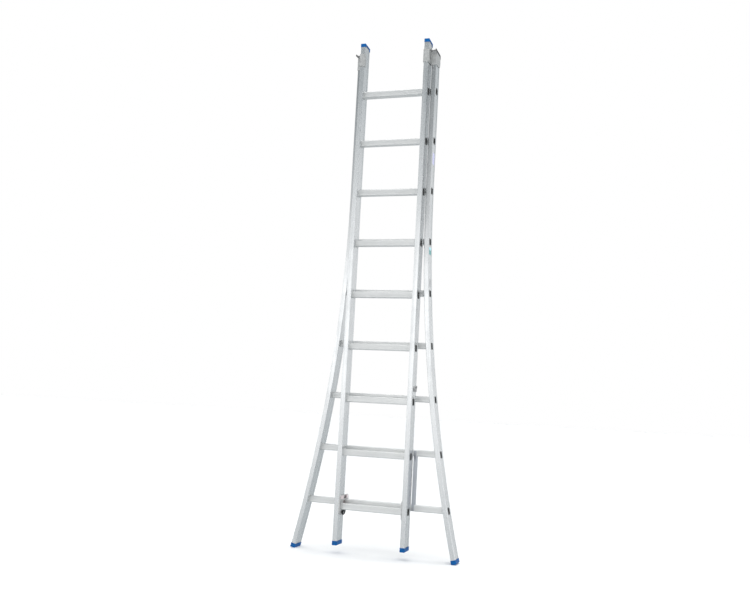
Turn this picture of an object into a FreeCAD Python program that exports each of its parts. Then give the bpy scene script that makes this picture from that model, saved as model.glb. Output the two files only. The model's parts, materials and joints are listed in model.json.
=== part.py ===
import FreeCAD, Part
import math
import os
from FreeCAD import Vector

# Two-section multi position ladder, 2 x 9 rungs, in millimetres.
# X runs across the ladder, -Y is the climbing side, Z is up from the floor.
# It is drawn closed: the narrow front section hooked on the lowest rung of the
# wide rear section, whose stiles curve outwards to a broad foot.

# ---- overall layout ------------------------------------------------------
RUNGS = 9
RUNG_PITCH = 280.0
FRONT_HALF_WIDTH = 195.0          # to the outer face of a front stile
REAR_HALF_WIDTH = 226.5           # same, rear stile, above the curve
SECTION_OFFSET = 55.5             # front section centre to rear section centre
FRONT_Y = -27.5
REAR_Y = FRONT_Y + SECTION_OFFSET
FRONT_RUNG_1 = 240.0              # height of the lowest rung of each section
REAR_RUNG_1 = 258.0
FRONT_BOTTOM = 43.5               # the hooked front section hangs off the floor
FRONT_TOP = 2768.0
REAR_TOP = 2716.0

# ---- curve of the rear stiles --------------------------------------------
CURVE_START = 1895.0              # height where the stiles begin to spread
CURVE_RADIUS = 8090.0
CURVE_CENTRE_X = REAR_HALF_WIDTH + CURVE_RADIUS

# ---- stile tube ----------------------------------------------------------
STILE_WIDTH = 25.0
STILE_DEPTH = 80.0
STILE_WALL = 2.4
STILE_RECESS = 1.0                # shallow channel down both broad faces
STILE_RECESS_HALF = 24.0
STILE_CORNER = 2.5

# ---- rung tube -----------------------------------------------------------
RUNG_HEIGHT = 33.0
RUNG_DEPTH = 30.0
RUNG_WALL = 2.2
RUNG_CORNER = 5.0
TREAD_GROOVES = 6
TREAD_PITCH = 3.2
GROOVE_WIDTH = 1.5
GROOVE_DEPTH = 0.7
SWAGE_GROWTH = 2.2                # collar pressed out against the stile
COLLAR_LENGTH = 2.5
FLARE_GROWTH = 1.2                # rolled-out end, flush in the stile's channel
TIGHT = 0.05
BEYOND = 600.0                    # well past the widest part of the ladder

# ---- plastic ends --------------------------------------------------------
BOOT_WALL = 1.5
BOOT_HEIGHT = 22.0
BOOT_CORNER = 3.0
BAND_BOTTOM = 15.8                # shadow line round the shank of a foot
BAND_HEIGHT = 1.6
BAND_DEPTH = 0.7
SOLE = 8.0
SOLE_END = 3.0                    # radius of the sole's front and rear ends
SOLE_SIDE = 5.0                   # same, along its two sides
SOLE_GROOVE_WIDTH = 2.4
SOLE_GROOVE_DEPTH = 1.8
SOLE_GROOVES = 6
SOLE_PITCH = 10.0
SOLE_FLAT = 0.8                   # depth worn flat where a leaning foot meets the floor
CAP_HEIGHT = 20.0
CAP_ROOF = 4.0
CAP_SIDE = 1.5                    # radius along the two sides of the roof
CAP_RIM = 9.0                     # shallower skirt along the two broad faces
CAP_EAR = 9.0                     # full-depth skirt at the front and rear

# ---- top guides and brackets ---------------------------------------------
PLATE = 2.5
GUIDE_PLAY = 0.6
GUIDE_BOTTOM = 2634.0
GUIDE_TOP = 2707.0
GUIDE_LIP = 18.0
GUIDE_TAB = 18.0
PIVOT_Y = -10.0                   # from the front section's centre plane
PIVOT_Z = 2708.0
PIVOT_RADIUS = 4.0
PIVOT_RUN = 0.05                  # running clearance around the pivot
PIVOT_END = 226.0
PIVOT_EYE = 9.0                   # half width of the metal round the pivot
PIVOT_SLOPE = 3.0
WASHER_RADIUS = 8.0
WASHER_THICK = 2.0
BOLT_HEAD_RADIUS = 5.5
BOLT_HEAD_LENGTH = 6.0
BRACKET_GAP = 1.0
BRACKET_BOTTOM = 2637.0
BRACKET_TOP = 2721.0

# ---- rung hooks ----------------------------------------------------------
HOOK_PLATE = 4.0
HOOK_TOP = 298.0
HOOK_BOTTOM = 202.0
HOOK_REACH = 96.5                 # tip of the hook behind the rear rung
HOOK_SEAT_GAP = 0.4
HOOK_SLOT_GAP = 1.5
HOOK_RIVET = (9.0, 12.0)          # in from the edge of the stile and of the hook
LATCH_THICK = 5.0
LATCH_SIDE_GAP = 1.4
LATCH_Y = 8.0
LATCH_Z = 208.0
LATCH_PIN = 3.0
LATCH_CORNER = 1.2
PIN_HEAD_RADIUS = 5.5
PIN_HEAD_THICK = 1.8
PIN_PLAY = 0.5

# ---- small brackets ------------------------------------------------------
BRACE_OUTER = 213.0               # outer face of the lower rung braces
BRACE_FLANGE = 14.0
BRACE_THICK = 2.0
BRACE_LAP = 13.0
BRACE_RIVET = 7.0                 # from the outer face of the brace
STOP_THICK = 3.0
STOP_BOTTOM = 854.0
STOP_TOP = 880.0
STOP_KNOB = 7.0
STOP_KNOB_HEIGHT = 3.0
STOP_RIVETS = (1.0, 15.0)         # from the front section's centre plane
RIVET_RADIUS = 4.0
RIVET_HEIGHT = 1.2
SMALL_RIVET = (3.5, 1.0)          # radius and height

os.makedirs("parts", exist_ok=True)


# ---- helpers -------------------------------------------------------------
def box(x0, x1, y0, y1, z0, z1):
    return Part.makeBox(x1 - x0, y1 - y0, z1 - z0, Vector(x0, y0, z0))


def mirrored(shape):
    return shape.mirror(Vector(0, 0, 0), Vector(1, 0, 0))


def rod_x(x0, x1, y, z, radius):
    return Part.makeCylinder(radius, x1 - x0, Vector(x0, y, z), Vector(1, 0, 0))


def plate_x(outline, x0, x1):
    """Flat plate across X from a side outline of (y, z) points."""
    loop = [Vector(x0, y, z) for y, z in outline]
    return Part.Face(Part.makePolygon(loop + loop[:1])).extrude(Vector(x1 - x0, 0, 0))


def rounded(shape, radius, wanted):
    """Round the edges that the test picks out."""
    edges = [e for e in shape.Edges if wanted(e)]
    return shape.makeFillet(radius, edges)


def along(edge, axis):
    """True for a straight edge that runs along the named axis."""
    if edge.Curve.TypeId != "Part::GeomLine":
        return False
    a, b = (v.Point for v in edge.Vertexes)
    run = b - a
    return abs(getattr(run, axis)) > 0.999 * run.Length


def rivet_head(point, direction, radius=RIVET_RADIUS, height=RIVET_HEIGHT):
    head = Part.makeCylinder(radius, height, point, direction)
    rim = point + direction * height
    return rounded(head, height * 0.8, lambda e: (e.CenterOfMass - rim).Length < 0.1)


def save(name, shape):
    shape.exportStep("parts/" + name + ".step")


def save_pair(name, right):
    save(name + "_right", right)
    save(name + "_left", mirrored(right))


# ---- stile geometry ------------------------------------------------------
def rear_x(inset, z):
    """X of a line that lies inset from the rear stile's outer face."""
    if z >= CURVE_START:
        return REAR_HALF_WIDTH - inset
    drop = CURVE_START - z
    return CURVE_CENTRE_X - math.sqrt((CURVE_RADIUS + inset) ** 2 - drop ** 2)


def front_layer(near, far, y0, y1, z0, z1):
    return box(FRONT_HALF_WIDTH - far, FRONT_HALF_WIDTH - near, FRONT_Y + y0, FRONT_Y + y1, z0, z1)


def rear_layer(near, far, y0, y1, z0, z1):
    """Slab that follows the curved rear stile, between two insets."""
    y = REAR_Y + y0

    def point(inset, z):
        return Vector(rear_x(inset, z), y, z)

    def arc(inset, za, zb):
        middle = (za + zb) / 2
        return Part.Arc(point(inset, za), point(inset, middle), point(inset, zb)).toShape()

    bend = min(max(z0, CURVE_START), z1)
    edges = []
    if z1 > bend:
        edges.append(Part.makeLine(point(near, z1), point(near, bend)))
    if z0 < bend:
        edges.append(arc(near, bend, z0))
    edges.append(Part.makeLine(point(near, z0), point(far, z0)))
    if z0 < bend:
        edges.append(arc(far, z0, bend))
    if z1 > bend:
        edges.append(Part.makeLine(point(far, bend), point(far, z1)))
    edges.append(Part.makeLine(point(far, z1), point(near, z1)))
    return Part.Face(Part.Wire(edges)).extrude(Vector(0, y1 - y0, 0))


HALF_DEPTH = STILE_DEPTH / 2


def stile(layer, z0, z1, rung_heights, rung_y):
    """Hollow tube with shallow channels and a hole for every rung."""
    tube = layer(0, STILE_WIDTH, -HALF_DEPTH, HALF_DEPTH, z0, z1)
    long_edges = [e for e in tube.Edges if e.Length > STILE_DEPTH * 2]
    tube = tube.makeFillet(STILE_CORNER, long_edges)
    inner_half = HALF_DEPTH - STILE_WALL
    hollow = layer(STILE_RECESS + STILE_WALL, STILE_WIDTH - STILE_RECESS - STILE_WALL,
                   -inner_half, inner_half, z0 - 1, z1 + 1)
    cuts = [hollow]
    for near, far in ((-1, STILE_RECESS), (STILE_WIDTH - STILE_RECESS, STILE_WIDTH + 1)):
        cuts.append(layer(near, far, -STILE_RECESS_HALF, STILE_RECESS_HALF, z0 - 1, z1 + 1))
    for z in rung_heights:
        cuts.append(rung_prism(rung_y, z, TIGHT, 0, BEYOND))
    return tube.cut(cuts)


# ---- rung geometry -------------------------------------------------------
def corner_points(cy, cz, radius, start):
    """Quarter circle of points that rounds one corner of a rung."""
    steps = 4
    angles = [math.radians(start + 90.0 * i / steps) for i in range(steps + 1)]
    return [(cy + radius * math.cos(a), cz + radius * math.sin(a)) for a in angles]


def rung_outline(grow, grooved):
    """Side outline of a rung: rounded box, ribbed on the tread and both faces."""
    half_d, half_h = RUNG_DEPTH / 2 + grow, RUNG_HEIGHT / 2 + grow
    inner_d, inner_h = half_d - RUNG_CORNER, half_h - RUNG_CORNER
    half_groove = GROOVE_WIDTH / 2
    top, front, back = [], [], []
    if grooved:
        first = -(TREAD_GROOVES - 1) / 2 * TREAD_PITCH
        for i in reversed(range(TREAD_GROOVES)):
            y = first + i * TREAD_PITCH
            top += [(y + half_groove, half_h), (y, half_h - GROOVE_DEPTH), (y - half_groove, half_h)]
        for z in (TREAD_PITCH, -TREAD_PITCH):
            front += [(-half_d, z + half_groove), (-half_d + GROOVE_DEPTH, z), (-half_d, z - half_groove)]
        back = [(-y, -z) for y, z in front]
    return (corner_points(inner_d, inner_h, RUNG_CORNER, 0) + top
            + corner_points(-inner_d, inner_h, RUNG_CORNER, 90) + front
            + corner_points(-inner_d, -inner_h, RUNG_CORNER, 180)
            + corner_points(inner_d, -inner_h, RUNG_CORNER, 270) + back)


def rung_prism(y, z, grow, x0, x1, grooved=False):
    return plate_x([(y + a, z + b) for a, b in rung_outline(grow, grooved)], x0, x1)


def rung(layer, y, z, half_length):
    """Ribbed tube with a collar inside and a rolled end outside each stile."""
    body = rung_prism(y, z, 0, -half_length, half_length, grooved=True)
    low, high = z - RUNG_HEIGHT, z + RUNG_HEIGHT
    collar = layer(STILE_WIDTH - STILE_RECESS, STILE_WIDTH + COLLAR_LENGTH,
                   -HALF_DEPTH, HALF_DEPTH, low, high)
    collar = collar.common(rung_prism(y, z, SWAGE_GROWTH, 0, BEYOND))
    flare = layer(0.1, STILE_RECESS, -HALF_DEPTH, HALF_DEPTH, low, high)
    flare = flare.common(rung_prism(y, z, FLARE_GROWTH, 0, BEYOND))
    beyond = layer(-60, 0.1, -HALF_DEPTH, HALF_DEPTH, low, high)
    ends = [collar, flare, mirrored(collar), mirrored(flare)]
    body = body.fuse(ends).cut(beyond).cut(mirrored(beyond)).removeSplitter()
    bore = rung_prism(y, z, -RUNG_WALL, -half_length - STILE_WIDTH, half_length + STILE_WIDTH)
    return body.Solids[0].cut(bore)


def front_height(k):
    return FRONT_RUNG_1 + k * RUNG_PITCH


def rear_height(k):
    return REAR_RUNG_1 + k * RUNG_PITCH


front_heights = [front_height(k) for k in range(RUNGS)]
rear_heights = [rear_height(k) for k in range(RUNGS)]

# ---- rungs ---------------------------------------------------------------
for k in range(RUNGS):
    number = str(k + 1)
    z = front_heights[k]
    save("front_rung_" + number, rung(front_layer, FRONT_Y, z, FRONT_HALF_WIDTH))
    z = rear_heights[k]
    reach = rear_x(0, z - RUNG_HEIGHT / 2)
    save("rear_rung_" + number, rung(rear_layer, REAR_Y, z, reach))


# ---- plastic feet and caps -----------------------------------------------
def rolled_prism(half, height, radius, place, run):
    """Upright prism whose two lower corners are quarter circles."""
    inset = radius * (1 - math.sqrt(0.5))
    edges = [Part.makeLine(place(-half, height), place(-half, radius)),
             Part.Arc(place(-half, radius), place(inset - half, inset), place(radius - half, 0)).toShape(),
             Part.makeLine(place(radius - half, 0), place(half - radius, 0)),
             Part.Arc(place(half - radius, 0), place(half - inset, inset), place(half, radius)).toShape(),
             Part.makeLine(place(half, radius), place(half, height)),
             Part.makeLine(place(half, height), place(-half, height))]
    return Part.Face(Part.Wire(edges)).extrude(run)


def plastic_end(height, solid, end_radius, side_radius):
    """Sleeve with one closed end, which stands on that end at the origin."""
    half_x, half_y = STILE_WIDTH / 2 + BOOT_WALL, HALF_DEPTH + BOOT_WALL
    shell = rounded(box(-half_x, half_x, -half_y, half_y, 0, height), BOOT_CORNER, lambda e: along(e, "z"))
    shell = shell.common(rolled_prism(half_y, height, end_radius,
                                      lambda u, v: Vector(-half_x, u, v), Vector(2 * half_x, 0, 0)))
    shell = shell.common(rolled_prism(half_x, height, side_radius,
                                      lambda u, v: Vector(u, -half_y, v), Vector(0, 2 * half_y, 0)))
    in_x, in_y = STILE_WIDTH / 2 + TIGHT, HALF_DEPTH + TIGHT
    return shell.cut(box(-in_x, in_x, -in_y, in_y, solid, height + 1))


def boot():
    """Foot with a shadow line round its shank and grooves across the sole."""
    body = plastic_end(BOOT_HEIGHT, SOLE, SOLE_END, SOLE_SIDE)
    half_x, half_y = STILE_WIDTH / 2 + BOOT_WALL, HALF_DEPTH + BOOT_WALL
    band_top = BAND_BOTTOM + BAND_HEIGHT
    core_x, core_y = half_x - BAND_DEPTH, half_y - BAND_DEPTH
    ring = box(-half_x - 1, half_x + 1, -half_y - 1, half_y + 1, BAND_BOTTOM, band_top)
    core = box(-core_x, core_x, -core_y, core_y, BAND_BOTTOM - 1, band_top + 1)
    cuts = [ring.cut(core)]
    half_groove = SOLE_GROOVE_WIDTH / 2
    for i in range(SOLE_GROOVES):
        y = (i - (SOLE_GROOVES - 1) / 2) * SOLE_PITCH
        cuts.append(box(-half_x - 1, half_x + 1, y - half_groove, y + half_groove, -1, SOLE_GROOVE_DEPTH))
    return body.cut(cuts)


def leaning(shape):
    """Turn an upright piece in line with the foot of the right rear stile."""
    turned = shape.copy()
    turned.rotate(Vector(0, 0, 0), Vector(0, -1, 0), math.degrees(LEAN))
    turned.translate(Vector(foot_x, REAR_Y, foot_z))
    return turned


LEAN = math.asin(CURVE_START / CURVE_RADIUS)
sole_flat_x = STILE_WIDTH / 2 + BOOT_WALL - SOLE_SIDE
foot_z = sole_flat_x * math.sin(LEAN) - SOLE_SIDE * math.cos(LEAN) + SOLE_SIDE - SOLE_FLAT
foot_x = rear_x(STILE_WIDTH / 2, foot_z + SOLE * math.cos(LEAN)) + SOLE * math.sin(LEAN)
floor = box(0, BEYOND, -BEYOND, BEYOND, -BEYOND, 0)

front_foot = boot()
front_foot.translate(Vector(FRONT_HALF_WIDTH - STILE_WIDTH / 2, FRONT_Y, FRONT_BOTTOM))
save_pair("front_foot", front_foot)
save_pair("rear_foot", leaning(boot()).cut(floor))

cap = plastic_end(CAP_HEIGHT, CAP_ROOF, CAP_ROOF, CAP_SIDE)
ear_y = HALF_DEPTH - CAP_EAR
cap = cap.cut(box(-STILE_WIDTH, STILE_WIDTH, -ear_y, ear_y, CAP_RIM, CAP_HEIGHT + 1))
cap.rotate(Vector(0, 0, 0), Vector(1, 0, 0), 180)
cap.translate(Vector(FRONT_HALF_WIDTH - STILE_WIDTH / 2, FRONT_Y, FRONT_TOP))
save_pair("front_cap", cap)

# ---- stiles --------------------------------------------------------------
save_pair("front_stile", stile(front_layer, FRONT_BOTTOM + SOLE, FRONT_TOP - CAP_ROOF,
                               front_heights, FRONT_Y))
rear_stile = stile(rear_layer, -SOLE, REAR_TOP, rear_heights, REAR_Y)
save_pair("rear_stile", rear_stile.cut(leaning(box(-BEYOND, BEYOND, -BEYOND, BEYOND, -BEYOND, SOLE))))

# ---- sliding guides at the top -------------------------------------------
# Each guide is folded round the outer edge of a front stile: a front wall, a lip
# on the inner face, a side wall that carries the pivot, and a tab behind.
guide_out = HALF_DEPTH + GUIDE_PLAY + PLATE
guide_in = HALF_DEPTH + GUIDE_PLAY
side_in = FRONT_HALF_WIDTH + GUIDE_PLAY
side_out = side_in + PLATE
lip_out = FRONT_HALF_WIDTH - STILE_WIDTH - GUIDE_PLAY
folded = PLATE * 0.9               # outer radius of a folded edge


def at_front(outline):
    return [(FRONT_Y + y, z) for y, z in outline]


side_wall = plate_x(at_front([
    (-guide_out, GUIDE_BOTTOM), (-guide_out, GUIDE_TOP),
    (PIVOT_Y - PIVOT_EYE - PIVOT_SLOPE, GUIDE_TOP), (PIVOT_Y - PIVOT_EYE, PIVOT_Z + PIVOT_EYE),
    (PIVOT_Y + PIVOT_EYE, PIVOT_Z + PIVOT_EYE), (PIVOT_Y + PIVOT_EYE + PIVOT_SLOPE, GUIDE_TOP),
    (guide_out, GUIDE_TOP), (guide_out, GUIDE_BOTTOM + 10), (-guide_out + 15, GUIDE_BOTTOM)]),
    side_in, side_out)
front_wall = box(lip_out - PLATE, side_out, FRONT_Y - guide_out, FRONT_Y - guide_in,
                 GUIDE_BOTTOM, GUIDE_TOP)
lip = box(lip_out - PLATE, lip_out, FRONT_Y - guide_out, FRONT_Y - guide_out + GUIDE_LIP,
          GUIDE_BOTTOM, GUIDE_TOP - 6)
tab = box(side_out - GUIDE_TAB, side_out, FRONT_Y + guide_in, FRONT_Y + guide_out,
          GUIDE_BOTTOM + 14, GUIDE_TOP - 8)
guide = side_wall.fuse([front_wall, lip, tab]).removeSplitter()
guide = rounded(guide, folded,
                lambda e: along(e, "z") and e.Length > 50
                and abs(abs(e.CenterOfMass.y - FRONT_Y) - guide_out) < 0.01
                and (abs(e.CenterOfMass.x - side_out) < 0.01
                     or abs(e.CenterOfMass.x - lip_out + PLATE) < 0.01))
pivot_y = FRONT_Y + PIVOT_Y
guide = guide.cut(rod_x(side_in - 1, side_out + 1, pivot_y, PIVOT_Z, PIVOT_RADIUS + PIVOT_RUN))
save_pair("guide_sleeve", guide)

# ---- brackets on top of the rear stiles ----------------------------------
# One folded plate: a lug for the pivot, a web across the front of the stile, a
# broad side plate with a rounded rear corner, and a return behind the stile.
lug_in = side_out + BRACKET_GAP
lug_out = lug_in + PLATE
web_front = SECTION_OFFSET - HALF_DEPTH - PLATE
web_back = SECTION_OFFSET - HALF_DEPTH
outer_in = REAR_HALF_WIDTH
outer_out = REAR_HALF_WIDTH + PLATE
back_in = SECTION_OFFSET + HALF_DEPTH
back_out = back_in + PLATE
lug = plate_x(at_front([
    (PIVOT_Y - PIVOT_EYE, PIVOT_Z - PIVOT_EYE), (PIVOT_Y - PIVOT_EYE, PIVOT_Z + PIVOT_EYE),
    (web_front, BRACKET_TOP - 3), (web_back, BRACKET_TOP - 3), (web_back, BRACKET_BOTTOM),
    (web_front, BRACKET_BOTTOM)]), lug_in, lug_out)
web = box(lug_in, outer_out, FRONT_Y + web_front, FRONT_Y + web_back, BRACKET_BOTTOM, BRACKET_TOP - 3)
side_plate = plate_x(at_front([
    (web_front, BRACKET_BOTTOM), (web_front, BRACKET_TOP - 3), (web_back + 12, BRACKET_TOP),
    (back_out - 11, BRACKET_TOP), (back_out - 4, BRACKET_TOP - 3), (back_out, BRACKET_TOP - 10),
    (back_out, BRACKET_BOTTOM + 20), (back_out - 16, BRACKET_BOTTOM + 8)]), outer_in, outer_out)
back_return = box(outer_out - GUIDE_TAB, outer_out, FRONT_Y + back_in, FRONT_Y + back_out,
                  BRACKET_BOTTOM + 22, BRACKET_TOP - 14)
bracket = lug.fuse([web, side_plate, back_return]).removeSplitter()
bracket = rounded(bracket, folded,
                  lambda e: along(e, "z") and e.Length > 40
                  and abs(e.CenterOfMass.x - outer_out) < 0.01)
bracket = bracket.cut(rod_x(lug_in - 1, lug_out + 1, pivot_y, PIVOT_Z, PIVOT_RADIUS))
save_pair("top_bracket", bracket)

# Pivot bolt: plain shank through guide and lug, washer by the lug, domed head outside.
bolt = rod_x(side_in + 0.3, PIVOT_END, pivot_y, PIVOT_Z, PIVOT_RADIUS)
washer = rod_x(lug_out, lug_out + WASHER_THICK, pivot_y, PIVOT_Z, WASHER_RADIUS)
head = rod_x(PIVOT_END - BOLT_HEAD_LENGTH, PIVOT_END, pivot_y, PIVOT_Z, BOLT_HEAD_RADIUS)
head = rounded(head, BOLT_HEAD_LENGTH / 3, lambda e: abs(e.CenterOfMass.x - PIVOT_END) < 0.1)
save_pair("pivot_bolt", bolt.fuse([washer, head]))

# ---- rung hooks on the lowest front rung ---------------------------------
hook_out = FRONT_HALF_WIDTH - STILE_WIDTH
hook_in = hook_out - HOOK_PLATE
seat = REAR_RUNG_1 + RUNG_HEIGHT / 2 + HOOK_SEAT_GAP
rung_front = SECTION_OFFSET - RUNG_DEPTH / 2 - HOOK_SLOT_GAP
rung_back = SECTION_OFFSET + RUNG_DEPTH / 2 + HOOK_SLOT_GAP
hook = plate_x(at_front([
    (-HALF_DEPTH + 1, HOOK_BOTTOM + 6), (-HALF_DEPTH + 1, HOOK_TOP - 6), (-HALF_DEPTH + 7, HOOK_TOP),
    (HOOK_REACH - 14, HOOK_TOP), (HOOK_REACH - 4, HOOK_TOP - 5), (HOOK_REACH, HOOK_TOP - 16),
    (HOOK_REACH - 2, seat - 32), (HOOK_REACH - 8, seat - 37), (rung_back + 5, seat - 34),
    (rung_back, seat - 24), (rung_back, seat - 2), (rung_back - 2, seat), (rung_front + 2, seat),
    (rung_front, seat - 2), (rung_front, HOOK_BOTTOM + 6), (rung_front - 6, HOOK_BOTTOM),
    (-HALF_DEPTH + 7, HOOK_BOTTOM)]), hook_in, hook_out)
rung_gap = SWAGE_GROWTH + 0.4
hook = hook.cut(rung_prism(FRONT_Y, FRONT_RUNG_1, rung_gap, hook_in - 1, hook_out + 1))
latch_y = FRONT_Y + LATCH_Y
hook = hook.cut(rod_x(hook_in - 1, hook_out + 1, latch_y, LATCH_Z, LATCH_PIN))
save_pair("hook_plate", hook)

# Safety latch: a tongue that closes the hook's mouth under the rear rung.
latch_out = hook_in - LATCH_SIDE_GAP
latch_in = latch_out - LATCH_THICK
rung_under = REAR_RUNG_1 - RUNG_HEIGHT / 2
latch = plate_x(at_front([
    (LATCH_Y - 9, LATCH_Z - 7), (LATCH_Y - 9, LATCH_Z + 6), (LATCH_Y - 4, LATCH_Z + 10),
    (LATCH_Y + 6, LATCH_Z + 10), (LATCH_Y + 13, LATCH_Z + 14), (rung_front + 2, rung_under - 5),
    (rung_front + 9, rung_under - 4), (rung_front + 12, rung_under - 9),
    (rung_front + 10, rung_under - 20), (rung_front, LATCH_Z - 5), (LATCH_Y + 12, LATCH_Z - 13),
    (LATCH_Y, LATCH_Z - 13), (LATCH_Y - 7, LATCH_Z - 11)]), latch_in, latch_out)
latch = rounded(latch, LATCH_CORNER, lambda e: along(e, "x"))
latch = latch.cut(rod_x(latch_in - 1, latch_out + 1, latch_y, LATCH_Z, LATCH_PIN + PIVOT_RUN))
save_pair("hook_latch", latch)
head_out = latch_in - PIN_PLAY
head_in = head_out - PIN_HEAD_THICK
pin = rod_x(head_out, hook_out, latch_y, LATCH_Z, LATCH_PIN)
pin_head = rod_x(head_in, head_out, latch_y, LATCH_Z, PIN_HEAD_RADIUS)
pin_head = rounded(pin_head, PIN_HEAD_THICK / 2, lambda e: abs(e.CenterOfMass.x - head_in) < 0.05)
save_pair("latch_pin", pin.fuse(pin_head))

# ---- extension stops on the front stiles ---------------------------------
stop = plate_x(at_front([
    (-6, STOP_BOTTOM), (-6, STOP_TOP - 8), (0, STOP_TOP), (HALF_DEPTH - 6, STOP_TOP),
    (HALF_DEPTH - 2, STOP_TOP - 6), (HALF_DEPTH - 2, STOP_BOTTOM + 4), (HALF_DEPTH - 6, STOP_BOTTOM)]),
    FRONT_HALF_WIDTH, FRONT_HALF_WIDTH + STOP_THICK)
knob_out = FRONT_HALF_WIDTH + STOP_THICK + STOP_KNOB_HEIGHT
knob = rod_x(FRONT_HALF_WIDTH, knob_out, FRONT_Y + HALF_DEPTH - STOP_KNOB - 2, STOP_TOP - 1, STOP_KNOB)
knob = rounded(knob, STOP_KNOB_HEIGHT / 2, lambda e: abs(e.CenterOfMass.x - knob_out) < 0.05)
save_pair("extension_stop", stop.fuse(knob))

# ---- braces between the two lowest rear rungs ----------------------------
# Channel whose flanges lap the rung faces; its web fits between the rungs.
brace_front = SECTION_OFFSET - RUNG_DEPTH / 2 - BRACE_THICK
brace_back = SECTION_OFFSET + RUNG_DEPTH / 2 + BRACE_THICK
brace_low = REAR_RUNG_1 - BRACE_LAP
brace_high = rear_height(1) + BRACE_LAP
web_low = REAR_RUNG_1 + RUNG_HEIGHT / 2 + 1
web_high = rear_height(1) - RUNG_HEIGHT / 2 - 1
flange_in = BRACE_OUTER - BRACE_FLANGE
brace = box(flange_in, BRACE_OUTER, FRONT_Y + brace_front, FRONT_Y + brace_back, brace_low, brace_high)
brace = rounded(brace, BRACE_THICK * 0.9,
                lambda e: along(e, "z") and abs(e.CenterOfMass.x - BRACE_OUTER) < 0.01)
brace = brace.cut(box(flange_in - 1, BRACE_OUTER - BRACE_THICK, FRONT_Y + brace_front + BRACE_THICK,
                      FRONT_Y + brace_back - BRACE_THICK, brace_low - 1, brace_high + 1))
for low, high in ((brace_low - 1, web_low), (web_high, brace_high + 1)):
    brace = brace.cut(box(flange_in - 1, BRACE_OUTER + 1, FRONT_Y + brace_front + BRACE_THICK,
                          FRONT_Y + brace_back - BRACE_THICK, low, high))
save_pair("rung_brace", brace)

# ---- rivet heads ---------------------------------------------------------
forward, outward, inward = Vector(0, -1, 0), Vector(1, 0, 0), Vector(-1, 0, 0)
rear_heads = []
for z in (REAR_RUNG_1, rear_height(1)):
    rear_heads.append(rivet_head(Vector(BRACE_OUTER - BRACE_RIVET, FRONT_Y + brace_front, z),
                                 forward, *SMALL_RIVET))
    rear_heads.append(rivet_head(Vector(BRACE_OUTER - BRACE_RIVET, FRONT_Y + brace_back, z), Vector(0, 1, 0)))
for y, z in ((web_back + 14, BRACKET_BOTTOM + 24), (web_back + 14, BRACKET_TOP - 22),
             (back_out - 18, BRACKET_BOTTOM + 40)):
    rear_heads.append(rivet_head(Vector(outer_out, FRONT_Y + y, z), outward))
front_heads = []
in_y, in_z = HOOK_RIVET
for y in (in_y - HALF_DEPTH, HALF_DEPTH - in_y):
    for z in (HOOK_TOP - in_z, HOOK_BOTTOM + in_z):
        front_heads.append(rivet_head(Vector(hook_in, FRONT_Y + y, z), inward, *SMALL_RIVET))
for y in STOP_RIVETS:
    front_heads.append(rivet_head(Vector(FRONT_HALF_WIDTH + STOP_THICK, FRONT_Y + y, STOP_BOTTOM + 9),
                                  outward, *SMALL_RIVET))
for name, heads in (("rear_rivets", rear_heads), ("front_rivets", front_heads)):
    save(name, Part.makeCompound(heads + [mirrored(h) for h in heads]))
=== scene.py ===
import json
import math

import bmesh
import bpy
from mathutils import Matrix, Vector


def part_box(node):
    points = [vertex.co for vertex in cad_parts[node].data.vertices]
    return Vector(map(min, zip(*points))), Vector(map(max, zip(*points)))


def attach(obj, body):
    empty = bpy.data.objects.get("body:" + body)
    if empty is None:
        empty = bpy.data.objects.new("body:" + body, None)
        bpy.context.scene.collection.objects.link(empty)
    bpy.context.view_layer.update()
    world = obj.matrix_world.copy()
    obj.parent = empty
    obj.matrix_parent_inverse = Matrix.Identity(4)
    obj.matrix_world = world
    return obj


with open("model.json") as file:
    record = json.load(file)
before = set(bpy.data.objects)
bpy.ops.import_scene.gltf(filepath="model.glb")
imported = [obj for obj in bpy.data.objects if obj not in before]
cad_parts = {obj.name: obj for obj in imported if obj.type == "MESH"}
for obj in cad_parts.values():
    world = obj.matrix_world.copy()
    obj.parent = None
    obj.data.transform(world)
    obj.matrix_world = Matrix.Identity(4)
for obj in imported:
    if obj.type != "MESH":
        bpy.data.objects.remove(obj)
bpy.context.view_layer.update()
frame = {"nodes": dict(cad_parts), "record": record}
nodes = frame["nodes"]


# ---- node material helpers -----------------------------------------------
def new_material(name):
    mat = bpy.data.materials.new(name)
    mat.use_nodes = True
    tree = mat.node_tree
    tree.nodes.clear()
    out = tree.nodes.new("ShaderNodeOutputMaterial")
    shader = tree.nodes.new("ShaderNodeBsdfPrincipled")
    tree.links.new(shader.outputs["BSDF"], out.inputs["Surface"])
    return mat, tree, shader


def coords(tree, stretch):
    """Object coordinates, squeezed along one axis so that noise turns into streaks."""
    tex = tree.nodes.new("ShaderNodeTexCoord")
    mapping = tree.nodes.new("ShaderNodeMapping")
    mapping.inputs["Scale"].default_value = stretch
    tree.links.new(tex.outputs["Object"], mapping.inputs["Vector"])
    return mapping.outputs["Vector"]


def noise(tree, vector, scale, detail=4.0, rough=0.55, distortion=0.0):
    node = tree.nodes.new("ShaderNodeTexNoise")
    node.inputs["Scale"].default_value = scale
    node.inputs["Detail"].default_value = detail
    node.inputs["Roughness"].default_value = rough
    node.inputs["Distortion"].default_value = distortion
    tree.links.new(vector, node.inputs["Vector"])
    return node.outputs["Fac"]


def ramp(tree, fac, stops):
    node = tree.nodes.new("ShaderNodeValToRGB")
    elements = node.color_ramp.elements
    while len(elements) < len(stops):
        elements.new(0.5)
    for element, (pos, colour) in zip(elements, stops):
        element.position = pos
        element.color = (*colour, 1.0)
    tree.links.new(fac, node.inputs["Fac"])
    return node.outputs["Color"]


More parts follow.
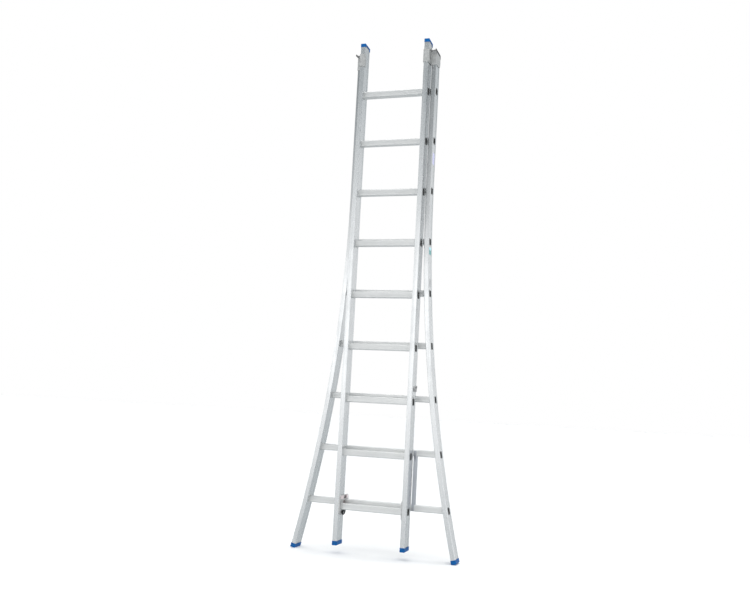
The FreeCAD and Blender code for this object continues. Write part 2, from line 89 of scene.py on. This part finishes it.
def spread(tree, fac, low, high, from_low=0.3, from_high=0.7):
    node = tree.nodes.new("ShaderNodeMapRange")
    node.inputs["From Min"].default_value = from_low
    node.inputs["From Max"].default_value = from_high
    node.inputs["To Min"].default_value = low
    node.inputs["To Max"].default_value = high
    tree.links.new(fac, node.inputs["Value"])
    return node.outputs["Result"]


def maths(tree, operation, a, b):
    node = tree.nodes.new("ShaderNodeMath")
    node.operation = operation
    for socket, value in zip(node.inputs, (a, b)):
        if isinstance(value, (int, float)):
            socket.default_value = value
        else:
            tree.links.new(value, socket)
    return node.outputs["Value"]


def mix(tree, fac, a, b):
    node = tree.nodes.new("ShaderNodeMix")
    node.data_type = "RGBA"
    for socket, value in ((node.inputs[0], fac), (node.inputs[6], a), (node.inputs[7], b)):
        if isinstance(value, (int, float)):
            socket.default_value = value
        elif isinstance(value, tuple):
            socket.default_value = (*value, 1.0)
        else:
            tree.links.new(value, socket)
    return node.outputs[2]


def bump(tree, shader, height, strength, distance):
    node = tree.nodes.new("ShaderNodeBump")
    node.inputs["Strength"].default_value = strength
    node.inputs["Distance"].default_value = distance
    tree.links.new(height, node.inputs["Height"])
    tree.links.new(node.outputs["Normal"], shader.inputs["Normal"])


def tint(colour, factor):
    return tuple(min(1.0, c * factor) for c in colour)


# ---- the materials -------------------------------------------------------
END_SHADE_SPAN = (0.483, 0.487)         # where a rung's end darkens with painted shade, from its middle, as a part of its length
SHADE_BAND = (0.53, 0.68)            # where the painted shade on the upper front starts and is full, as a part of the height


def extruded_aluminium(name, colour, stretch, rough, end_shade=False, front_shade=False):
    """Mill-finish extrusion: die lines, oxide haze, scuffs; optionally painted shade in the open ends, or
    painted shade on the upper front.
    """
    mat, tree, shader = new_material(name)
    streak_at = coords(tree, stretch)
    plain_at = coords(tree, (1.0, 1.0, 1.0))
    lines = noise(tree, streak_at, 260.0, 6.0, 0.65)
    broad = noise(tree, streak_at, 60.0, 3.0)
    haze = noise(tree, plain_at, 9.0, 5.0, 0.6, 0.4)
    speck = noise(tree, plain_at, 420.0, 3.0, 0.7)
    die = ramp(tree, lines, [(0.30, tint(colour, 0.965)), (0.55, colour), (0.80, tint(colour, 1.025))])
    hazed = mix(tree, spread(tree, haze, 0.0, 0.5), die, tint(colour, 0.94))
    scuffs_and_painted_shade = mix(tree, spread(tree, speck, 0.0, 0.16, 0.64, 0.8), hazed, tint(colour, 0.7))
    if end_shade or front_shade:
        place = tree.nodes.new("ShaderNodeTexCoord")
        across = tree.nodes.new("ShaderNodeSeparateXYZ")
        tree.links.new(place.outputs["Generated"], across.inputs["Vector"])
    # painted shade: front-facing upper faces are darkened, standing in for the shade and dim reflection
    # behind the front stile
    if front_shade:
        facing = tree.nodes.new("ShaderNodeSeparateXYZ")
        tree.links.new(place.outputs["Normal"], facing.inputs["Vector"])
        front = spread(tree, maths(tree, "MULTIPLY", facing.outputs["Y"], -1.0), 0.0, 1.0, 0.5, 0.9)
        high = spread(tree, across.outputs["Z"], 0.0, 1.0, *SHADE_BAND)
        scuffs_and_painted_shade = mix(tree, maths(tree, "MULTIPLY", front, high), scuffs_and_painted_shade, tint(colour, 0.74))
    # painted shade: the open rung ends turn nearly black, standing in for the shade inside the tube
    if end_shade:
        from_middle = maths(tree, "ABSOLUTE", maths(tree, "SUBTRACT", across.outputs["X"], 0.5), 0.0)
        scuffs_and_painted_shade = mix(tree, spread(tree, from_middle, 0.0, 0.85, *END_SHADE_SPAN), scuffs_and_painted_shade, tint(colour, 0.05))
    tree.links.new(scuffs_and_painted_shade, shader.inputs["Base Color"])
    shader.inputs["Metallic"].default_value = 0.92
    level = maths(tree, "ADD", spread(tree, broad, rough - 0.06, rough + 0.07),
                  spread(tree, haze, -0.03, 0.06))
    tree.links.new(level, shader.inputs["Roughness"])
    height = maths(tree, "ADD", lines, maths(tree, "MULTIPLY", speck, 0.15))
    bump(tree, shader, height, 0.035, 0.0003)
    return mat


def plated_steel(name, colour, rough, spangle=70.0):
    """Zinc-plated sheet: soft crystal spangle with a fine rolled grain."""
    mat, tree, shader = new_material(name)
    at = coords(tree, (1.0, 1.0, 1.0))
    cells = tree.nodes.new("ShaderNodeTexVoronoi")
    cells.inputs["Scale"].default_value = spangle
    tree.links.new(at, cells.inputs["Vector"])
    grey = tree.nodes.new("ShaderNodeRGBToBW")
    tree.links.new(cells.outputs["Color"], grey.inputs["Color"])
    grain = noise(tree, at, 700.0, 4.0, 0.7)
    stain = noise(tree, at, 22.0, 5.0, 0.6, 0.6)
    base = ramp(tree, grey.outputs["Val"],
                [(0.1, tint(colour, 0.9)), (0.5, colour), (0.9, tint(colour, 1.09))])
    stained = mix(tree, spread(tree, stain, 0.0, 0.55), base, tint(colour, 0.8))
    tree.links.new(stained, shader.inputs["Base Color"])
    shader.inputs["Metallic"].default_value = 0.85
    level = maths(tree, "ADD", spread(tree, grey.outputs["Val"], rough - 0.05, rough + 0.06, 0.0, 1.0),
                  spread(tree, stain, -0.03, 0.07))
    tree.links.new(level, shader.inputs["Roughness"])
    bump(tree, shader, grain, 0.18, 0.0003)
    return mat


def moulded_plastic(name, colour, rough, grain_scale=900.0):
    """Injection-moulded plastic: fine spark grain, slight mottling, pale scuffs."""
    mat, tree, shader = new_material(name)
    at = coords(tree, (1.0, 1.0, 1.0))
    grain = noise(tree, at, grain_scale, 3.0, 0.6)
    mottle = noise(tree, at, 45.0, 5.0, 0.6, 0.3)
    scuff = noise(tree, coords(tree, (1.0, 1.0, 0.15)), 320.0, 6.0, 0.7, 0.8)
    body = ramp(tree, mottle, [(0.25, tint(colour, 0.82)), (0.55, colour), (0.85, tint(colour, 1.18))])
    pale = tuple(0.72 * c + 0.1 for c in colour)
    worn = mix(tree, spread(tree, scuff, 0.0, 0.45, 0.64, 0.8), body, pale)
    tree.links.new(worn, shader.inputs["Base Color"])
    level = maths(tree, "ADD", spread(tree, mottle, rough - 0.05, rough + 0.06),
                  spread(tree, scuff, 0.0, 0.12, 0.6, 0.8))
    tree.links.new(level, shader.inputs["Roughness"])
    shader.inputs["Specular IOR Level"].default_value = 0.18
    bump(tree, shader, grain, 0.25, 0.0003)
    return mat


def printed_film(name, colour, bars, ink):
    """Glossy sticker film, with plain bands of ink where bars is set."""
    mat, tree, shader = new_material(name)
    at = coords(tree, (1.0, 1.0, 1.0))
    crease = noise(tree, at, 90.0, 4.0, 0.6, 0.5)
    film = ramp(tree, crease, [(0.25, tint(colour, 0.93)), (0.6, colour), (0.9, tint(colour, 1.05))])
    if bars:
        wave = tree.nodes.new("ShaderNodeTexWave")
        wave.bands_direction = "Z"
        wave.inputs["Scale"].default_value = bars
        wave.inputs["Distortion"].default_value = 0.0
        tree.links.new(at, wave.inputs["Vector"])
        film = mix(tree, spread(tree, wave.outputs["Fac"], 0.0, 1.0, 0.55, 0.6), film, ink)
    tree.links.new(film, shader.inputs["Base Color"])
    tree.links.new(spread(tree, crease, 0.28, 0.42), shader.inputs["Roughness"])
    bump(tree, shader, crease, 0.1, 0.0002)
    return mat


STILE = (0.71, 0.725, 0.735)
RUNG = (0.82, 0.825, 0.82)
materials = {
    "stile_aluminium": extruded_aluminium("stile_metal", STILE, (1.0, 1.0, 0.012), 0.22),
    # True paints shade into the open ends of the rungs
    "rung_aluminium": extruded_aluminium("rung_metal", RUNG, (0.012, 1.0, 1.0), 0.48, True),
    "brace_aluminium": extruded_aluminium("brace_metal", (0.5, 0.52, 0.56), (1.0, 1.0, 0.02), 0.32),
    "bracket_steel": plated_steel("bracket_metal", (0.60, 0.605, 0.60), 0.44),
    "hook_steel": plated_steel("hook_metal", (0.62, 0.62, 0.62), 0.4, 90.0),
    "stop_steel": plated_steel("stop_metal", (0.5, 0.5, 0.5), 0.42, 90.0),
    "bolt_steel": plated_steel("bolt_metal", (0.30, 0.30, 0.30), 0.4, 200.0),
    "rivet_aluminium": plated_steel("rivet_metal", (0.55, 0.55, 0.56), 0.36, 300.0),
    "blue_plastic": moulded_plastic("blue_moulding", (0.0006, 0.10, 0.335), 0.5),
    "dark_plastic": moulded_plastic("dark_moulding", (0.03, 0.031, 0.034), 0.46),
}
# rear stiles get painted shade on their upper front faces, where the front stiles block the light
front_shade_stile = extruded_aluminium("stile_metal_front_shade", STILE, (1.0, 1.0, 0.012), 0.22, front_shade=True)
slot_of = {s["node"]: s["material_slot"] for s in frame["record"]["subparts"]}
for name, obj in nodes.items():
    obj.data.materials.clear()
    rear = name.startswith("rear_stile")
    obj.data.materials.append(front_shade_stile if rear else materials[slot_of[name]])

# ---- softened sheet-metal and moulded edges on the CAD nodes ---------------
EDGE_ROUNDING = {
    "guide_sleeve": 0.0005, "top_bracket": 0.0005, "hook_plate": 0.0004, "rung_brace": 0.0004,
    "extension_stop": 0.0004, "front_foot": 0.0007, "rear_foot": 0.0007, "front_cap": 0.0009,
}
for name, obj in nodes.items():
    for start, width in EDGE_ROUNDING.items():
        if name.startswith(start):
            bevel = obj.modifiers.new("edge", "BEVEL")
            bevel.width = width
            bevel.segments = 2
            bevel.limit_method = "ANGLE"
            bevel.angle_limit = math.radians(50)
            bevel.harden_normals = False


# ---- printed films ---------------------------------------------------------
FILM = 0.00025
film_white = printed_film("film_rose_white", (0.80, 0.70, 0.71), 0.0, (0.0, 0.0, 0.0))
film_maroon = printed_film("film_maroon", (0.035, 0.007, 0.010), 0.0, (0.0, 0.0, 0.0))
film_lavender = printed_film("film_lavender", (0.60, 0.61, 0.80), 26.0, (0.46, 0.47, 0.72))
film_cyan = printed_film("film_cyan", (0.40, 0.74, 0.80), 0.0, (0.0, 0.0, 0.0))
film_teal = printed_film("film_teal", (0.09, 0.34, 0.34), 0.0, (0.0, 0.0, 0.0))
film_grey = printed_film("film_grey", (0.36, 0.37, 0.38), 0.0, (0.0, 0.0, 0.0))


def film(name, node, side, y_range, z_range, material, lift=0.0):
    """Thin rounded film laid on the face of a node that looks along side * X."""
    mid_y, mid_z = sum(y_range) / 2, sum(z_range) / 2
    half_y, half_z = (y_range[1] - y_range[0]) / 2, (z_range[1] - z_range[0]) / 2
    corner = min(half_y, half_z) * 0.25
    turns = [math.radians(90 / 4 * step) for step in range(5)]
    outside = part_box(node)[1 if side > 0 else 0][0] + side * 0.05
    bm = bmesh.new()
    ring = []
    for quarter, (sy, sz) in enumerate(((1, 1), (-1, 1), (-1, -1), (1, -1))):
        for turn in turns:
            angle = turn + quarter * math.pi / 2
            y = mid_y + sy * (half_y - corner) + corner * math.cos(angle)
            z = mid_z + sz * (half_z - corner) + corner * math.sin(angle)
            start = Vector((outside, y, z))
            found, place = nodes[node].ray_cast(start, Vector((-side, 0.0, 0.0)))[:2]
            if not found:
                raise ValueError(name + " reaches past the face of " + node)
            ring.append(bm.verts.new((place.x + side * (lift + FILM / 2), y, z)))
    face = bm.faces.new(ring)
    raised = bmesh.ops.extrude_face_region(bm, geom=[face])
    top = [v for v in raised["geom"] if isinstance(v, bmesh.types.BMVert)]
    bmesh.ops.translate(bm, verts=top, vec=(side * FILM, 0, 0))
    bmesh.ops.recalc_face_normals(bm, faces=bm.faces)
    mesh = bpy.data.meshes.new(name)
    bm.to_mesh(mesh)
    bm.free()
    obj = bpy.data.objects.new(name, mesh)
    bpy.context.collection.objects.link(obj)
    mesh.materials.append(material)
    body, slot = body_of[node], slot_of[node]
    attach(obj, body)


body_of = {node: body for body, members in frame["record"]["behaviour"]["bodies"].items() for node in members}
hook_low, hook_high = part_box("hook_plate_left")
front_y = (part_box("front_stile_left")[0][1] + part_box("front_stile_left")[1][1]) / 2
rear_y = (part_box("rear_stile_right")[0][1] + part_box("rear_stile_right")[1][1]) / 2
film("hook_label_top", "hook_plate_left", 1, (hook_low[1] + 0.008, hook_high[1] - 0.013),
     (hook_high[2] - 0.020, hook_high[2] - 0.003), film_white)
film("hook_label_leg", "hook_plate_left", 1, (front_y + 0.0185, front_y + 0.038),
     (hook_high[2] - 0.074, hook_high[2] - 0.028), film_white)
film("hook_label_mark_1", "hook_plate_left", 1, (front_y + 0.0195, front_y + 0.037),
     (hook_high[2] - 0.054, hook_high[2] - 0.029), film_maroon, FILM)
film("hook_label_mark_2", "hook_plate_left", 1, (front_y + 0.021, front_y + 0.062),
     (hook_high[2] - 0.0195, hook_high[2] - 0.005), film_maroon, FILM)
CHANNEL = 0.021
label_y = (rear_y - CHANNEL, rear_y + CHANNEL)
film("stile_label_tall", "rear_stile_right", 1, label_y, (2.086, 2.150), film_lavender)
film("stile_label_pale", "rear_stile_right", 1, label_y, (1.613, 1.627), film_cyan)
film("stile_label_teal", "rear_stile_right", 1, label_y, (1.588, 1.6115), film_teal)
for row in range(4):
    for column in (-1, 1):
        middle = rear_y + column * 0.009
        low = 1.416 + row * 0.0105
        film("stile_mark_%d_%s" % (row + 1, "front" if column < 0 else "back"), "rear_stile_right", 1,
             (middle - 0.006, middle + 0.006), (low, low + 0.007), film_grey)


# ---- painted shade: dark strip along the top of the brackets ----------------
SHADE_STRIP_WIDTH = 0.012
SHADE_STRIP_THICK = 0.0004
SHADE_STRIP_SINK = 0.0002          # how far its underside sits inside the sheet
SHADE_STRIP_TURN = 0.6             # width down the rear corner, as a part of the full width
SHADE_STRIP_ROUND = 0.4            # rounding of its edges, as a part of the thickness


def shade_strip(name, node, side):
    """Dark strip of painted shade laid on the outer face of a bracket, along its top edge and rounded rear
    corner.
    """
    low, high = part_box(node)
    x = high[0] if side > 0 else low[0]
    front, back, top = low[1] + 0.001, high[1] - 0.001, high[2] - 0.0005
    outer = [(front, top - 0.003), (front + 0.012, top - 0.0005), (back - 0.011, top - 0.0005),
             (back - 0.004, top - 0.0035), (back - 0.0005, top - 0.0105), (back - 0.0005, top - 0.022)]
    turn = SHADE_STRIP_WIDTH * SHADE_STRIP_TURN
    inner = [(y - (turn if y > back - 0.008 else 0.0), z - SHADE_STRIP_WIDTH) for y, z in outer]
    inner[-1] = (outer[-1][0] - turn, outer[-1][1])
    bm = bmesh.new()
    rows = [[bm.verts.new((x + side * d, y, z)) for y, z in line]
            for line, d in ((outer, -SHADE_STRIP_SINK), (outer, SHADE_STRIP_THICK),
                            (inner, SHADE_STRIP_THICK), (inner, -SHADE_STRIP_SINK))]
    for a, b in zip(rows, rows[1:] + rows[:1]):
        for i in range(len(a) - 1):
            bm.faces.new((a[i], a[i + 1], b[i + 1], b[i]))
    for end in (0, -1):
        bm.faces.new([row[end] for row in rows])
    bmesh.ops.recalc_face_normals(bm, faces=bm.faces)
    mesh = bpy.data.meshes.new(name)
    bm.to_mesh(mesh)
    bm.free()
    obj = bpy.data.objects.new(name, mesh)
    bpy.context.collection.objects.link(obj)
    # the dark plastic gives the strip its painted shade along the folded top edge
    mesh.materials.append(materials["dark_plastic"])
    bevel = obj.modifiers.new("edge", "BEVEL")
    bevel.width = SHADE_STRIP_THICK * SHADE_STRIP_ROUND
    bevel.segments = 2
    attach(obj, body_of[node])


for side, word in ((1, "right"), (-1, "left")):
    shade_strip("bracket_shade_strip_" + word, "top_bracket_" + word, side)


# ---- floor, light, camera ------------------------------------------------
def floor_plane():
    mesh = bpy.data.meshes.new("floor")
    size = 60.0
    mesh.from_pydata([(-size, -size, 0), (size, -size, 0), (size, size, 0), (-size, size, 0)], [],
                     [(0, 1, 2, 3)])
    obj = bpy.data.objects.new("floor", mesh)
    bpy.context.collection.objects.link(obj)
    mat, tree, shader = new_material("pale_floor")
    at = coords(tree, (1.0, 1.0, 1.0))
    cloud = noise(tree, at, 1.3, 4.0)
    tree.links.new(ramp(tree, cloud, [(0.3, (0.92, 0.92, 0.925)), (0.7, (0.95, 0.95, 0.95))]),
                   shader.inputs["Base Color"])
    shader.inputs["Roughness"].default_value = 0.9
    mesh.materials.append(mat)
    obj.visible_glossy = False


floor_plane()


def soft_light(name, place, target, size, power):
    data = bpy.data.lights.new(name, "AREA")
    data.shape = "RECTANGLE"
    data.size, data.size_y = size
    data.energy = power
    obj = bpy.data.objects.new(name, data)
    bpy.context.collection.objects.link(obj)
    obj.location = place
    obj.rotation_euler = (Vector(target) - Vector(place)).to_track_quat("-Z", "Y").to_euler()
    obj.visible_glossy = False


soft_light("top_light", (0.6, -3.2, 5.2), (0, 0, 1.0), (3.5, 3.0), 60)
soft_light("side_light", (5.2, 1.0, 2.6), (0, 0, 1.2), (2.0, 3.5), 40)

# ---- studio surroundings: bright wall near the horizon, darker above, bright ceiling ---
WORLD_STRENGTH = 2.6
COOLNESS = 0.15
FRONT_SKY = [(-1.0, 0.66), (-0.146, 0.68), (-0.08, 0.92), (-0.037, 1.12), (0.0, 1.45), (0.052, 1.66),
             (0.096, 1.66), (0.16, 1.62), (0.18, 1.42), (0.225, 1.06), (0.264, 0.82), (0.304, 0.60),
             (0.35, 0.42), (0.40, 0.31), (0.60, 0.32), (0.76, 0.6), (0.87, 2.1), (1.0, 2.4)]
BACK_SKY = [(-1.0, 0.60), (-0.15, 0.64), (-0.05, 0.76), (0.0, 0.85), (0.10, 0.93), (0.27, 0.86),
            (0.36, 0.66), (0.45, 0.5), (0.60, 0.45), (0.76, 0.7), (0.87, 2.1), (1.0, 2.4)]


def sky(tree, height, levels):
    """Vertical run of light levels, a little bluer where it is dimmer."""
    stops = []
    for z, level in levels:
        cool = COOLNESS * max(0.0, 1.0 - level)
        stops.append(((z + 1) / 2, tint((1.0 - cool, 1.0, 1.0 + cool / 2), level / WORLD_STRENGTH)))
    return ramp(tree, height, stops)


def studio_world():
    world = bpy.data.worlds.new("studio")
    bpy.context.scene.world = world
    world.use_nodes = True
    tree = world.node_tree
    tree.nodes.clear()
    tex = tree.nodes.new("ShaderNodeTexCoord")
    split = tree.nodes.new("ShaderNodeSeparateXYZ")
    tree.links.new(tex.outputs["Generated"], split.inputs[0])
    height = spread(tree, split.outputs["Z"], 0.0, 1.0, -1.0, 1.0)
    behind = spread(tree, split.outputs["Y"], 0.0, 1.0, -0.3, 0.3)
    light = mix(tree, behind, sky(tree, height, FRONT_SKY), sky(tree, height, BACK_SKY))
    room = tree.nodes.new("ShaderNodeBackground")
    room.inputs["Strength"].default_value = WORLD_STRENGTH
    tree.links.new(light, room.inputs["Color"])
    seen = tree.nodes.new("ShaderNodeBackground")
    seen.inputs["Color"].default_value = (1.0, 1.0, 1.0, 1.0)
    pick = tree.nodes.new("ShaderNodeMixShader")
    light_path = tree.nodes.new("ShaderNodeLightPath")
    tree.links.new(light_path.outputs["Is Camera Ray"], pick.inputs["Fac"])
    tree.links.new(room.outputs["Background"], pick.inputs[1])
    tree.links.new(seen.outputs["Background"], pick.inputs[2])
    out = tree.nodes.new("ShaderNodeOutputWorld")
    tree.links.new(pick.outputs["Shader"], out.inputs["Surface"])


studio_world()

# ---- camera --------------------------------------------------------------
AZIMUTH, PITCH, ROLL = 0.3154, -0.1245, 0.0544
CAMERA_AT = Vector((1.360, -4.337, 0.7653))
LENS = 40.92
back = Vector((math.sin(AZIMUTH) * math.cos(PITCH), -math.cos(AZIMUTH) * math.cos(PITCH), math.sin(PITCH)))
right = Vector((math.cos(AZIMUTH), math.sin(AZIMUTH), 0.0))
up = back.cross(right)
rolled_right = right * math.cos(ROLL) + up * math.sin(ROLL)
rolled_up = up * math.cos(ROLL) - right * math.sin(ROLL)
camera_data = bpy.data.cameras.new("camera")
camera_data.lens = LENS
camera_data.sensor_width = 36.0
camera = bpy.data.objects.new("camera", camera_data)
bpy.context.collection.objects.link(camera)
rotation = Matrix((rolled_right, rolled_up, back)).transposed().to_4x4()
camera.matrix_world = Matrix.Translation(CAMERA_AT) @ rotation
bpy.context.scene.camera = camera
bpy.context.scene.view_settings.view_transform = "Standard"
